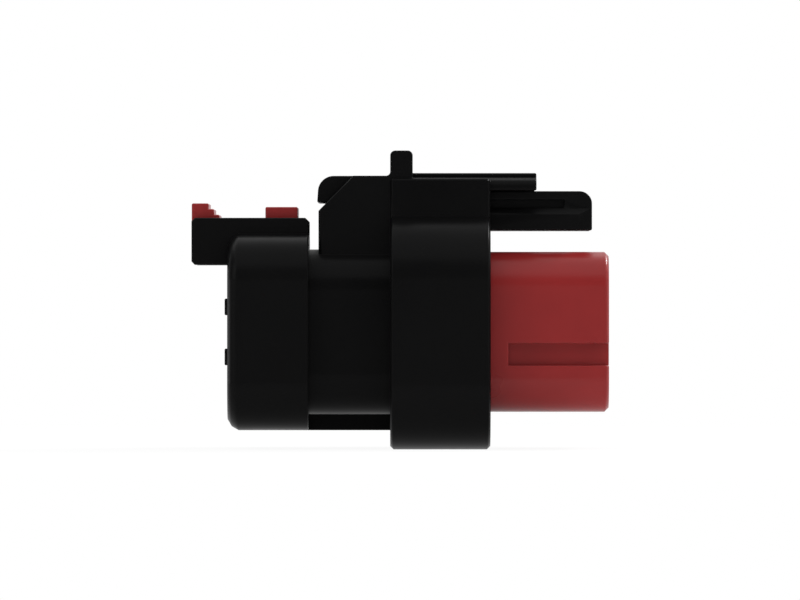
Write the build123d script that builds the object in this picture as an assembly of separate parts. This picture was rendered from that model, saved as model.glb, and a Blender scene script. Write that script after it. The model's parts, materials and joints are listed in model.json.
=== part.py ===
from build123d import *
from math import radians, sqrt, tan
import os

# Sealed pin connector plug: keyed nose, latch lever, rear cover and position slide.
# Millimetres. The origin is the centre of the nose's front face, +X points the way
# the plug is pushed to mate, +Z is up to the latch, and +Y runs across the plug.

# Contact field: rows are stacked in Z and columns stand side by side in Y
COLUMNS = 3
ROWS = 2
PITCH = 6.0

# Sections, each measured out from the outermost contact centres
NOSE_MARGIN = 6.6
SHROUD_GAP = 2.6
COLLAR_WALL = 1.9
NECK_MARGIN = 6.9
COVER_MARGIN = 8.8
NOSE_CORNER = 4.2
COLLAR_CORNER = 8.0
NECK_CORNER = 5.0
COVER_CORNER = 5.8

# Lengths along the plug, from the nose backwards
NOSE_REACH = 14.2
COLLAR_LENGTH = 12.0
NECK_SHOWN = 9.8
COVER_LENGTH = 9.7
WEB = 1.8

# Edge roundings
NOSE_EDGE = 0.5
COLLAR_EDGE = 0.4
COVER_EDGE = 1.8
SMALL_EDGE = 0.4

# Clearances
LOCK_FIT = 0.1
COVER_FIT = 0.15
SEAL_FIT = 0.05
SLIDE_FIT = 0.1
STOP_GAP = 0.2
OVERCUT = 1.0

# Front lock: a cap over the core that blocks the lances
LOCK_WALL = 1.3
LOCK_FRONT = 1.6
LOCK_TRAVEL = 1.8
LOCK_TO_SEAL = 0.3
PIN_HOLE_R = 1.05
KEY_LENGTH = 12.07
KEY_HEIGHT = 2.64
KEY_CENTRE = -2.69
KEY_DEPTH = 1.3
KEY_WALL = 1.2
TONGUE_THICK = 0.85
TONGUE_LAP = 1.4
NUB_LENGTH = 0.8
NUB_HIGH = 0.4
NUB_WIDE = 3.0
NUB_CENTRE = 3.2
NUB_INSET = 1.0

# Socket contacts and the cavities that hold them
PIN_R = 0.8
SOCKET_DEPTH = 6.2
CONTACT_R = 1.2
HOOD_FIT = 0.05
HOOD_WALL = 0.3
HOOD_LENGTH = 6.8
HOOD_LEAD = 0.2
CONTACT_SETBACK = 0.7
SLIT = 0.3
STOP_SETBACK = 10.1
STOP_LENGTH = 1.5
STOP_WIDE = 4.0
STOP_HIGH = 3.4
CRIMP_METAL = 0.4
CRIMP_WIDE = 2.2
WIRE_CRIMP_LENGTH = 3.4
WIRE_CRIMP_HIGH = 2.4
GRIP_CRIMP_LENGTH = 2.6
GRIP_CRIMP_HIGH = 2.7
CRIMP_LINK = 1.0
CAVITY_FIT = 0.1
LANCE_WIDE = 1.6
LANCE_THICK = 0.9
LANCE_LENGTH = 6.0
LANCE_NOSE = 0.8
LANCE_FREE = 0.4

# Seals
SEAL_BODY = 1.3
SEAL_RIB = 0.7
SEAL_RIB_LENGTH = 1.5
INTERFACE_SEAL_LENGTH = 7.2
SEAL_RIBS = 2
NECK_WALL = 1.5
WIRE_SEAL_LENGTH = 8.0
WIRE_SEAL_R = 1.0

# Tower over the collar, its roof, finger rib and the guard ahead of it
TOWER_HALF = 11.0
TOWER_WALL = 1.6
TOWER_RISE = 4.38
STRIP_RISE = 0.58
STRIP_HALF = 8.8
ROOF_WALL = 1.16
GUARD_REACH = 5.55
GUARD_INSET = 0.8
GUARD_THICK = 1.52
GUARD_SHOULDER = 0.6
RIB_LENGTH = 2.7
RIB_RISE = 2.69
RIB_EDGE = 0.6
RIB_COVE = 0.5

# Rear side walls that flank the latch pad
CHEEK_INSET = 0.6
CHEEK_WALL = 1.6
CHEEK_LENGTH = 8.6
CHEEK_RISE = 0.25
CHEEK_BEVEL = 4.2

# Latch lever: front loop, beam on two torsion webs, and thumb pad
ARM_REACH = 12.24
ARM_HALF = 8.0
ARM_LIFT = 1.0
ARM_DEPTH = 4.71
ARM_NOSE = 1.5
ARM_SETBACK = 1.4
FLANGE_OUT = 0.73
FLANGE_HEIGHT = 1.91
FLANGE_LEAD = 1.6
WINDOW_HALF = 5.2
WINDOW_LENGTH = 8.2
BAR_LENGTH = 2.24
BAR_DEPTH = 3.7
BAR_LEAD = 1.0
ROOT_THICK = 2.3
GROOVE_HEIGHT = 1.0
GROOVE_DEPTH = 0.6
GROOVE_LENGTH = 8.9
BEAM_HALF = 7.0
BEAM_GAP = 1.1
WEB_BACK = 5.8
WEB_LENGTH = 1.6
WEB_HEIGHT = 1.3
PAD_FIT = 0.4
PAD_OVERHANG = 0.17
PAD_DEPTH = 3.2
PAD_PLATE = 1.6
PAD_SKIRT = 1.2
PAD_ROUND = 1.9
PAD_SLANT = 0.2
PAD_KICK = 2.1

# Keel under the neck
KEEL_HALF = 3.0
KEEL_DEPTH = 1.97
KEEL_LAP = 4.9

# Rear cover and its rails
COVER_PLATE = 1.6
WIRE_HOLE_R = 1.5
ROW_TAB = 2.0
ROW_TAB_HIGH = 0.35
ROW_TAB_OUT = 3.9
RAIL_OVERHANG = 4.35
RAIL_RISE = 1.89
RAIL_DROP = 3.76
RAIL_HALF = 9.3
RAIL_WALL = 1.7
RAIL_EDGE = 0.4
TRAY_FLOOR = 1.5

# Catches on the neck's sides that the rear cover snaps over
CATCH_SETBACK = 4.5
CATCH_LENGTH = 0.8
CATCH_RAMP = 1.2
CATCH_OUT = 0.5
CATCH_HALF = 3.0

# Position slide
SLIDE_THICK = 1.0
SLIDE_TRAVEL = 5.4
SLIDE_EAR = 0.6
SLIDE_SETBACK = 1.3
NOSE_BLOCK = 3.9
NOSE_BLOCK_TOP = 3.2
GRIP_STEP = 0.68
GRIP_TOP = 3.64
GRIP_LENGTH = 2.05
GRIP_TREAD = 0.65
GRIP_STEPS = 3
SNAP_HALF = 1.6
SNAP_SLIT = 0.5
SNAP_LENGTH = 4.6
SNAP_HOOK = 0.8
SNAP_DROP = 0.9

# Stations along X that follow from the lengths
COLLAR_FRONT = -NOSE_REACH
COLLAR_REAR = COLLAR_FRONT - COLLAR_LENGTH
COVER_FRONT = COLLAR_REAR - NECK_SHOWN
COVER_REAR = COVER_FRONT - COVER_LENGTH
PLATE_FRONT = COVER_REAR + COVER_PLATE
NECK_REAR = PLATE_FRONT + LOCK_FIT
SEAL_SEAT = PLATE_FRONT + WIRE_SEAL_LENGTH
CORE_FRONT = -LOCK_FRONT - LOCK_FIT
CORE_MARGIN = NOSE_MARGIN - LOCK_WALL - LOCK_FIT
CORE_CORNER = NOSE_CORNER - LOCK_WALL - LOCK_FIT
COLLAR_MARGIN = NOSE_MARGIN + SHROUD_GAP + COLLAR_WALL
SEAL_REAR = COLLAR_REAR + WEB
SEAL_FRONT = SEAL_REAR + INTERFACE_SEAL_LENGTH
LOCK_REAR = SEAL_FRONT + LOCK_TO_SEAL
CONTACT_FRONT = CORE_FRONT - CONTACT_SETBACK
HOOD_R = CONTACT_R + HOOD_FIT + HOOD_WALL
HOOD_FRONT = CONTACT_FRONT + HOOD_LEAD
HOOD_REAR = HOOD_FRONT - HOOD_LENGTH
LANCE_TIP = HOOD_REAR - STOP_GAP
LANCE_ROOT = LANCE_TIP - LANCE_LENGTH
STOP_FRONT = CONTACT_FRONT - STOP_SETBACK
CELL_HALF = HOOD_R + CAVITY_FIT
LANCE_FLOOR = STOP_HIGH / 2 + LOCK_FIT
LANCE_TOP = LANCE_FLOOR + LANCE_THICK
TONGUE_FLOOR = LANCE_TOP + STOP_GAP
POCKET_TOP = TONGUE_FLOOR + TONGUE_THICK + LOCK_FIT
POCKET_HALF = LANCE_WIDE / 2 + LANCE_FREE


def half_width(margin):
    """Half the width of a section that stands this far outside the contacts."""
    return PITCH * (COLUMNS - 1) / 2 + margin


def half_height(margin):
    """Half the height of a section that stands this far outside the contacts."""
    return PITCH * (ROWS - 1) / 2 + margin


COLLAR_TOP = half_height(COLLAR_MARGIN)
NECK_TOP = half_height(NECK_MARGIN)
COVER_TOP = half_height(COVER_MARGIN)
TOWER_TOP = COLLAR_TOP + TOWER_RISE
ROOF_TOP = TOWER_TOP + STRIP_RISE
CEILING = ROOF_TOP - ROOF_WALL
TUNNEL_HALF = TOWER_HALF - TOWER_WALL
CHEEK_HALF = TOWER_HALF - CHEEK_INSET
CHEEK_TOP = TOWER_TOP + CHEEK_RISE
ARM_TOP = CEILING - ARM_LIFT
ARM_FRONT = COLLAR_FRONT + ARM_REACH
ARM_REAR = COLLAR_FRONT - ARM_SETBACK
PAD_HALF = CHEEK_HALF - CHEEK_WALL - PAD_FIT
PAD_REAR = COLLAR_REAR - CHEEK_LENGTH - PAD_OVERHANG
PAD_FRONT = COLLAR_REAR - PAD_FIT


def block(x0, x1, y0, y1, z0, z1):
    """Box between two corners."""
    centre = Pos((x0 + x1) / 2, (y0 + y1) / 2, (z0 + z1) / 2)
    return centre * Box(abs(x1 - x0), abs(y1 - y0), abs(z1 - z0))


def across(x0, x1, half, z0, z1):
    """Box centred across the plug."""
    return block(x0, x1, -half, half, z0, z1)


def both_sides(shape):
    """A shape and its mirror image across the plug's middle."""
    return shape + mirror(shape, Plane.XZ)


def prism(x0, x1, margin, corner):
    """Rounded section at this margin round the contacts, carried from x0 to x1."""
    section = RectangleRounded(2 * half_width(margin), 2 * half_height(margin), corner)
    return extrude(Plane.YZ.offset(x0) * section, x1 - x0)


def side_profile(points, half):
    """Closed outline in X and Z, carried this far to each side."""
    return extrude(make_face(Plane.XZ * Polyline(*points, close=True)), half, both=True)


def rod(x0, x1, radius):
    """Cylinder along X."""
    return extrude(Plane.YZ.offset(x0) * Circle(radius), x1 - x0)


def contact_places():
    """Centre of each contact in Y and Z, row by row from the top."""
    return [
        (PITCH * (column - (COLUMNS - 1) / 2), PITCH * ((ROWS - 1) / 2 - row))
        for row in range(ROWS)
        for column in range(COLUMNS)
    ]


def at_contacts(shape):
    """A shape at every contact, turned over for the rows below the middle."""
    copies = []
    for y, z in contact_places():
        turn = Rot(0, 0, 0) if z >= 0 else Rot(180, 0, 0)
        copies.append(Pos(0, y, z) * turn * shape)
    return copies


def end_face(shape, side):
    """Flat end of a section, rear (-1) or front (1)."""
    return shape.faces().filter_by(Axis.X).sort_by(Axis.X)[0 if side < 0 else -1]


def eased_end(shape, side, radius):
    """Round an end with two flats, which touch the radius at 30 and 60 degrees."""
    along = radius * (1 - tan(radians(15)))
    inward = along / sqrt(3)
    end = end_face(shape, side)
    shape = chamfer(end.edges(), inward, along, reference=end)
    return chamfer(end_face(shape, side).edges(), along - inward)


def collar_shell():
    """Outside of the collar, with eased ends."""
    outer = prism(COLLAR_REAR, COLLAR_FRONT, COLLAR_MARGIN, COLLAR_CORNER)
    return chamfer(end_face(outer, -1).edges() + end_face(outer, 1).edges(), COLLAR_EDGE)


def tower():
    """Block over the collar that the latch runs through, with the strip on its roof."""
    body = across(COLLAR_REAR, COLLAR_FRONT, TOWER_HALF, COLLAR_TOP - COLLAR_WALL, TOWER_TOP)
    top = body.faces().sort_by(Axis.Z)[-1]
    body = chamfer(body.edges().filter_by(Axis.Z) + top.edges(), SMALL_EDGE)
    strip = across(COLLAR_REAR, COLLAR_FRONT + GUARD_REACH, STRIP_HALF, CEILING, ROOF_TOP)
    return body + strip


def guard():
    """Channel ahead of the tower, open below, that shields the latch arm."""
    half = TOWER_HALF - GUARD_INSET
    front = COLLAR_FRONT + GUARD_REACH
    body = across(COLLAR_FRONT - OVERCUT, front, half, TOWER_TOP - GUARD_THICK, TOWER_TOP)
    shoulders = body.edges().filter_by(Axis.X).group_by(Axis.Z)[-1]
    return chamfer(shoulders, GUARD_SHOULDER)


def finger_rib():
    """Rib across the roof's rear end, coved into the side walls behind it."""
    rear = COLLAR_REAR
    rib = across(rear, rear + RIB_LENGTH, CHEEK_HALF, CEILING, ROOF_TOP + RIB_RISE)
    rib = fillet(rib.edges().filter_by(Axis.Y).group_by(Axis.Z)[-1], RIB_EDGE)
    cove = block(
        rear - RIB_COVE, rear, PAD_HALF + PAD_FIT, CHEEK_HALF, CHEEK_TOP, CHEEK_TOP + RIB_COVE
    )
    hollow = Pos(rear - RIB_COVE, 0, CHEEK_TOP + RIB_COVE) * Rot(90, 0, 0)
    cove -= hollow * Cylinder(RIB_COVE, 4 * CHEEK_HALF)
    return rib + both_sides(cove)


def cheeks():
    """Side walls behind the tower, bevelled at the top behind."""
    rear = COLLAR_REAR - CHEEK_LENGTH
    front = COLLAR_REAR + SMALL_EDGE * 2
    wall = block(rear, front, CHEEK_HALF - CHEEK_WALL, CHEEK_HALF, NECK_TOP - NECK_WALL, CHEEK_TOP)
    wall = chamfer(wall.edges().filter_by(Axis.Z).group_by(Axis.X)[0].group_by(Axis.Y)[-1], SMALL_EDGE)
    bevel = side_profile(
        [
            (rear - OVERCUT, CHEEK_TOP - CHEEK_BEVEL - OVERCUT),
            (rear + CHEEK_BEVEL + OVERCUT, CHEEK_TOP + OVERCUT),
            (rear - OVERCUT, CHEEK_TOP + OVERCUT),
        ],
        2 * CHEEK_HALF,
    )
    return both_sides(wall - bevel)


def neck():
    """Sleeve behind the collar, with the keel under it."""
    body = prism(NECK_REAR, COLLAR_REAR + WEB, NECK_MARGIN, NECK_CORNER)
    floor = -NECK_TOP - KEEL_DEPTH
    root = -NECK_TOP + NECK_WALL / 2
    body += across(COVER_FRONT - KEEL_LAP, COLLAR_REAR + WEB / 2, KEEL_HALF, floor, root)
    return body + both_sides(cover_catch())


def cover_catch():
    """Catch on the neck's side, ramped behind, that keeps the rear cover on."""
    front = COVER_FRONT - CATCH_SETBACK
    side = half_width(NECK_MARGIN)
    outline = Polyline(
        (front, side - NECK_WALL / 2),
        (front, side + CATCH_OUT),
        (front - CATCH_LENGTH, side + CATCH_OUT),
        (front - CATCH_LENGTH - CATCH_RAMP, side),
        (front - CATCH_LENGTH - CATCH_RAMP, side - NECK_WALL / 2),
        close=True,
    )
    return extrude(make_face(outline), CATCH_HALF, both=True)


def catch_pocket():
    """Blind pocket inside the rear cover that drops over a catch."""
    front = COVER_FRONT - CATCH_SETBACK
    side = half_width(NECK_MARGIN)
    return block(
        front - CATCH_LENGTH - CATCH_RAMP - STOP_GAP,
        front + LOCK_FIT,
        side,
        side + CATCH_OUT + COVER_FIT,
        -CATCH_HALF - STOP_GAP,
        CATCH_HALF + STOP_GAP,
    )


def latch_loop():
    """Front of the latch lever: a wide loop round the catch window."""
    floor = ARM_TOP - ARM_DEPTH
    upper = across(ARM_REAR, ARM_FRONT, ARM_HALF, floor + FLANGE_HEIGHT, ARM_TOP)
    upper = fillet(upper.edges().filter_by(Axis.Y).group_by(Axis.Z)[-1].sort_by(Axis.X)[-1], ARM_NOSE)
    outer = ARM_HALF + FLANGE_OUT
    flange = across(ARM_REAR, ARM_FRONT, outer, floor, floor + FLANGE_HEIGHT + FLANGE_OUT)
    flange = chamfer(flange.edges().filter_by(Axis.X).group_by(Axis.Z)[-1], FLANGE_OUT)
    lead = make_face(
        Plane.XY.offset(floor - OVERCUT)
        * Polyline(
            (ARM_FRONT - FLANGE_LEAD, outer),
            (ARM_FRONT, ARM_HALF),
            (ARM_FRONT + OVERCUT, outer + OVERCUT),
            close=True,
        )
    )
    flange -= both_sides(extrude(lead, ARM_DEPTH + OVERCUT))
    groove = block(
        ARM_REAR - OVERCUT,
        COLLAR_FRONT + GROOVE_LENGTH,
        ARM_HALF - GROOVE_DEPTH,
        outer + OVERCUT,
        floor + FLANGE_HEIGHT + FLANGE_OUT,
        floor + FLANGE_HEIGHT + FLANGE_OUT + GROOVE_HEIGHT,
    )
    loop = upper + flange - both_sides(groove)
    window_front = ARM_FRONT - BAR_LENGTH
    window = across(
        window_front - WINDOW_LENGTH, window_front, WINDOW_HALF, floor - OVERCUT, ARM_TOP + OVERCUT
    )
    under_root = across(
        ARM_REAR - OVERCUT, window_front, WINDOW_HALF, floor - OVERCUT, ARM_TOP - ROOT_THICK
    )
    bar_floor = ARM_TOP - BAR_DEPTH
    under_bar = side_profile(
        [
            (window_front - OVERCUT, floor - OVERCUT),
            (window_front - OVERCUT, bar_floor),
            (ARM_FRONT - BAR_LEAD, bar_floor),
            (ARM_FRONT + BAR_LEAD, bar_floor + 2 * BAR_LEAD),
            (ARM_FRONT + BAR_LEAD, floor - OVERCUT),
        ],
        WINDOW_HALF,
    )
    return loop - window - under_root - under_bar


def latch_beam():
    """Beam through the tower, kicked up under the pad, with its two torsion webs."""
    floor = COLLAR_TOP + BEAM_GAP
    plate_floor = CHEEK_TOP - PAD_PLATE
    inside = plate_floor + PAD_PLATE / 5
    beam = side_profile(
        [
            (ARM_REAR + OVERCUT, floor),
            (PAD_FRONT - PAD_FIT, floor),
            (PAD_FRONT - PAD_FIT - PAD_KICK, inside),
            (PAD_FRONT, inside),
            (PAD_FRONT, ARM_TOP),
            (ARM_REAR + OVERCUT, ARM_TOP),
        ],
        BEAM_HALF,
    )
    web_x = COLLAR_FRONT - WEB_BACK
    middle = (floor + ARM_TOP) / 2
    web = block(
        web_x - WEB_LENGTH / 2,
        web_x + WEB_LENGTH / 2,
        BEAM_HALF - SMALL_EDGE,
        TUNNEL_HALF + TOWER_WALL / 2,
        middle - WEB_HEIGHT / 2,
        middle + WEB_HEIGHT / 2,
    )
    return beam + both_sides(web)


def latch_pad():
    """Thumb pad between the cheeks, hollow below, with a rounded rear end."""
    floor = CHEEK_TOP - PAD_DEPTH
    outline = make_face(
        Plane.XZ
        * Polyline(
            (PAD_REAR, floor),
            (PAD_FRONT, floor),
            (PAD_FRONT, CHEEK_TOP),
            (PAD_REAR + PAD_SLANT, CHEEK_TOP),
            close=True,
        )
    )
    corner = outline.vertices().group_by(Axis.Z)[-1].sort_by(Axis.X)[0]
    pad = extrude(fillet(corner, PAD_ROUND), PAD_HALF, both=True)
    half = PAD_HALF - PAD_SKIRT
    ceiling = CHEEK_TOP - PAD_PLATE
    return pad - across(PAD_REAR + PAD_PLATE, PAD_FRONT + OVERCUT, half, floor - OVERCUT, ceiling)


def lance():
    """Flexible finger over one contact, with a nose that drops behind its hood."""
    nose_floor = CONTACT_R + LOCK_FIT
    slope = LANCE_FLOOR - nose_floor
    return side_profile(
        [
            (LANCE_ROOT - SMALL_EDGE, LANCE_FLOOR),
            (LANCE_TIP - LANCE_NOSE - 2 * slope, LANCE_FLOOR),
            (LANCE_TIP - LANCE_NOSE, nose_floor),
            (LANCE_TIP, nose_floor),
            (LANCE_TIP, LANCE_TOP),
            (LANCE_ROOT - SMALL_EDGE, LANCE_TOP),
        ],
        LANCE_WIDE / 2,
    )


def cavity():
    """Stepped square cell for one contact, with the pocket its lance swings in."""
    front = across(STOP_FRONT - CAVITY_FIT, CORE_FRONT + OVERCUT, CELL_HALF, -CELL_HALF, CELL_HALF)
    rear = across(
        SEAL_SEAT - OVERCUT,
        STOP_FRONT + CAVITY_FIT / 2,
        STOP_WIDE / 2 + CAVITY_FIT,
        -STOP_HIGH / 2 - CAVITY_FIT,
        STOP_HIGH / 2 + CAVITY_FIT,
    )
    pocket = across(LANCE_ROOT, CORE_FRONT + OVERCUT, POCKET_HALF, 0, POCKET_TOP)
    return rear + front + pocket


def plug_housing():
    """Collar, core, neck, tower and latch lever in one moulding."""
    shell = collar_shell() + neck() + tower() + guard() + finger_rib() + cheeks()
    shell -= prism(SEAL_REAR, OVERCUT, NOSE_MARGIN + SHROUD_GAP, COLLAR_CORNER - COLLAR_WALL)
    tunnel = across(
        COLLAR_REAR - OVERCUT, COLLAR_FRONT + GUARD_REACH + OVERCUT, TUNNEL_HALF, COLLAR_TOP, CEILING
    )
    notch_floor = COLLAR_TOP - 2 * COLLAR_WALL
    notch_rear = ARM_REAR - PAD_FIT
    notch = across(notch_rear, COLLAR_FRONT + OVERCUT, TUNNEL_HALF, notch_floor, COLLAR_TOP + OVERCUT)
    shell = shell - tunnel - notch
    body = shell + prism(SEAL_REAR - WEB / 2, CORE_FRONT, CORE_MARGIN, CORE_CORNER)
    body -= prism(NECK_REAR - OVERCUT, SEAL_SEAT, NECK_MARGIN - NECK_WALL, NECK_CORNER - NECK_WALL)
    for hole in at_contacts(cavity()):
        body -= hole
    key_floor = half_width(NOSE_MARGIN) - KEY_DEPTH - KEY_WALL - LOCK_FIT
    body -= block(
        -KEY_LENGTH - KEY_WALL - LOCK_FIT,
        OVERCUT,
        -half_width(NOSE_MARGIN),
        -key_floor,
        KEY_CENTRE - KEY_HEIGHT / 2 - KEY_WALL - LOCK_FIT,
        KEY_CENTRE + KEY_HEIGHT / 2 + KEY_WALL + LOCK_FIT,
    )
    body -= both_sides(nub_pocket())
    for finger in at_contacts(lance()):
        body += finger
    return body + latch_loop() + latch_beam() + latch_pad()


def nub_pocket():
    """Slot in the core's side that the front lock's nub slides in."""
    rear = LOCK_REAR + NUB_INSET
    side = half_width(CORE_MARGIN)
    return block(
        rear - STOP_GAP,
        rear + NUB_LENGTH + LOCK_TRAVEL + STOP_GAP,
        side - NUB_HIGH,
        side + OVERCUT,
        NUB_CENTRE - NUB_WIDE / 2 - STOP_GAP,
        NUB_CENTRE + NUB_WIDE / 2 + STOP_GAP,
    )


def front_lock():
    """Red nose cap with pin holes, a keyway and a tongue over each lance."""
    cap = prism(LOCK_REAR, 0, NOSE_MARGIN, NOSE_CORNER)
    cap = chamfer(end_face(cap, 1).edges(), NOSE_EDGE)
    cap -= prism(LOCK_REAR - OVERCUT, -LOCK_FRONT, NOSE_MARGIN - LOCK_WALL, NOSE_CORNER - LOCK_WALL)
    side = half_width(NOSE_MARGIN)
    low, high = KEY_CENTRE - KEY_HEIGHT / 2, KEY_CENTRE + KEY_HEIGHT / 2
    cap += block(
        -KEY_LENGTH - KEY_WALL,
        -LOCK_FRONT / 2,
        -side + LOCK_WALL / 2,
        -side + KEY_DEPTH + KEY_WALL,
        low - KEY_WALL,
        high + KEY_WALL,
    )
    cap -= block(-KEY_LENGTH, OVERCUT, -side - OVERCUT, -side + KEY_DEPTH, low, high)
    rear = LOCK_REAR + NUB_INSET
    inner = side - LOCK_WALL
    nub = block(
        rear,
        rear + NUB_LENGTH,
        inner - NUB_HIGH,
        inner + LOCK_WALL / 2,
        NUB_CENTRE - NUB_WIDE / 2,
        NUB_CENTRE + NUB_WIDE / 2,
    )
    cap += both_sides(nub)
    tongue_tip = LANCE_TIP - TONGUE_LAP
    tongue = side_profile(
        [
            (-LOCK_FRONT / 2, TONGUE_FLOOR),
            (tongue_tip, TONGUE_FLOOR),
            (tongue_tip, TONGUE_FLOOR + TONGUE_THICK / 2),
            (tongue_tip + TONGUE_THICK, TONGUE_FLOOR + TONGUE_THICK),
            (-LOCK_FRONT / 2, TONGUE_FLOOR + TONGUE_THICK),
        ],
        POCKET_HALF - STOP_GAP,
    )
    for finger in at_contacts(tongue):
        cap += finger
    for hole in at_contacts(rod(-LOCK_FRONT - LOCK_FIT, OVERCUT, PIN_HOLE_R)):
        cap -= hole
    return cap


def interface_seal():
    """Ribbed ring on the core, which seals inside the mating shroud."""
    inner = CORE_MARGIN + SEAL_FIT
    corner = CORE_CORNER + SEAL_FIT
    ring = prism(SEAL_REAR, SEAL_FRONT, inner + SEAL_BODY, corner + SEAL_BODY)
    crest = SEAL_BODY + SEAL_RIB
    spacing = INTERFACE_SEAL_LENGTH / SEAL_RIBS
    for i in range(SEAL_RIBS):
        start = SEAL_REAR + spacing * i + (spacing - SEAL_RIB_LENGTH) / 2
        ring += prism(start, start + SEAL_RIB_LENGTH, inner + crest, corner + crest)
    return ring - prism(SEAL_REAR - OVERCUT, SEAL_FRONT + OVERCUT, inner, corner)


def wire_seal():
    """Mat in the neck with a close hole for each wire."""
    margin = NECK_MARGIN - NECK_WALL - SEAL_FIT
    mat = prism(PLATE_FRONT, SEAL_SEAT, margin, NECK_CORNER - NECK_WALL - SEAL_FIT)
    for hole in at_contacts(rod(PLATE_FRONT - OVERCUT, SEAL_SEAT + OVERCUT, WIRE_SEAL_R)):
        mat -= hole
    return mat


def rail_outline():
    """Side view of a rail, from its rear overhang to the cover's front edge."""
    outline = make_face(
        Plane.XZ
        * Polyline(
            (COVER_REAR - RAIL_OVERHANG, COVER_TOP - RAIL_DROP),
            (COVER_FRONT, COVER_TOP - RAIL_DROP),
            (COVER_FRONT, COVER_TOP + RAIL_RISE),
            (COVER_REAR - RAIL_OVERHANG, COVER_TOP + RAIL_RISE),
            close=True,
        )
    )
    rear = outline.vertices().group_by(Axis.X)[0]
    front = outline.vertices().group_by(Axis.X)[-1].sort_by(Axis.Z)[-1]
    return chamfer(rear + front, RAIL_EDGE)


def rear_cover():
    """Cover that holds the wire seal in the neck, with rails for the slide on top."""
    cover = prism(COVER_REAR, COVER_FRONT, COVER_MARGIN, COVER_CORNER)
    cover = eased_end(cover, -1, COVER_EDGE)
    rail = extrude(rail_outline(), RAIL_WALL)
    cover += both_sides(Pos(0, RAIL_HALF, 0) * rail)
    tray = across(
        COVER_REAR - RAIL_OVERHANG, COVER_REAR + COVER_EDGE, RAIL_HALF, COVER_TOP - TRAY_FLOOR, COVER_TOP
    )
    cover += chamfer(tray.edges().filter_by(Axis.Y).group_by(Axis.X)[0].sort_by(Axis.Z)[0], RAIL_EDGE)
    inner = NECK_MARGIN + COVER_FIT
    cover -= prism(PLATE_FRONT, COVER_FRONT + OVERCUT, inner, NECK_CORNER + COVER_FIT)
    cover -= both_sides(catch_pocket())
    keel_rear = COVER_FRONT - KEEL_LAP - STOP_GAP
    cover -= across(
        keel_rear, COVER_FRONT + OVERCUT, KEEL_HALF + COVER_FIT, -2 * COVER_TOP, -NECK_TOP + LOCK_FIT
    )
    groove_front = slide_front() - NOSE_BLOCK + SLIDE_TRAVEL + SLIDE_FIT
    cover -= across(
        COVER_REAR - RAIL_OVERHANG - OVERCUT,
        groove_front,
        slide_half() + SLIDE_EAR + SLIDE_FIT,
        COVER_TOP,
        slide_floor() + SLIDE_THICK + SLIDE_FIT,
    )
    cover -= across(
        snap_front() - SNAP_HOOK - SLIDE_FIT,
        COVER_FRONT + OVERCUT,
        SNAP_HALF + SLIDE_FIT * 2,
        NECK_TOP,
        COVER_TOP + OVERCUT / 2,
    )
    for hole in at_contacts(rod(COVER_REAR - OVERCUT, PLATE_FRONT + OVERCUT, WIRE_HOLE_R)):
        cover -= hole
    tab_y = half_width(ROW_TAB_OUT)
    for row in range(ROWS):
        z = PITCH * ((ROWS - 1) / 2 - row)
        tab = block(
            COVER_REAR - ROW_TAB_HIGH,
            COVER_REAR + COVER_PLATE / 2,
            tab_y - ROW_TAB / 2,
            tab_y + ROW_TAB / 2,
            z - ROW_TAB / 2,
            z + ROW_TAB / 2,
        )
        cover += both_sides(tab)
    return cover


def slide_front():
    """Front end of the position slide at rest."""
    return COVER_FRONT - SLIDE_SETBACK


def slide_floor():
    """Underside of the slide's plate, just above the cover."""
    return COVER_TOP + SLIDE_FIT


def slide_half():
    """Half width of the slide between the rails."""
    return RAIL_HALF - RAIL_WALL - SLIDE_FIT


def snap_front():
    """Front end of the slide's snap tongue."""
    return slide_front() - NOSE_BLOCK - SNAP_SLIT


def position_slide():
    """Red slide on the rails: grip steps, nose block, side ears and a snap tongue."""
    rear = COVER_REAR - RAIL_OVERHANG
    front = slide_front()
    floor = slide_floor()
    top = floor + SLIDE_THICK
    half = slide_half()
    slide = across(rear, front, half, floor, top)
    slide += across(rear + RAIL_EDGE, front - NOSE_BLOCK, half + SLIDE_EAR, floor, top)
    slide += across(front - NOSE_BLOCK, front, half, top - SLIDE_THICK / 2, COVER_TOP + NOSE_BLOCK_TOP)
    for i in range(GRIP_STEPS):
        reach = rear + GRIP_LENGTH + GRIP_TREAD * i
        slide += across(rear, reach, half, top - SLIDE_THICK / 2, COVER_TOP + GRIP_TOP - GRIP_STEP * i)
    tip = snap_front()
    slit = across(
        tip - SNAP_LENGTH, tip + SNAP_SLIT, SNAP_HALF + SNAP_SLIT, floor - OVERCUT, top + OVERCUT / 4
    )
    slide -= slit
    tongue = across(tip - SNAP_LENGTH - SNAP_SLIT, tip, SNAP_HALF, floor, top)
    hook = side_profile(
        [
            (tip - SNAP_HOOK, floor - SNAP_DROP),
            (tip - SNAP_HOOK / 2, floor - SNAP_DROP),
            (tip, floor),
            (tip, floor + SLIDE_FIT),
            (tip - SNAP_HOOK, floor + SLIDE_FIT),
        ],
        SNAP_HALF,
    )
    return slide + tongue + hook


def crimp(x_front, length, height):
    """Open U of wings, bent up from the contact's floor."""
    half = CRIMP_WIDE / 2
    outer = block(x_front - length, x_front, -half, half, -half, height - half)
    return outer - block(
        x_front - length - OVERCUT,
        x_front + OVERCUT,
        CRIMP_METAL - half,
        half - CRIMP_METAL,
        CRIMP_METAL - half,
        height + OVERCUT,
    )


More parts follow.
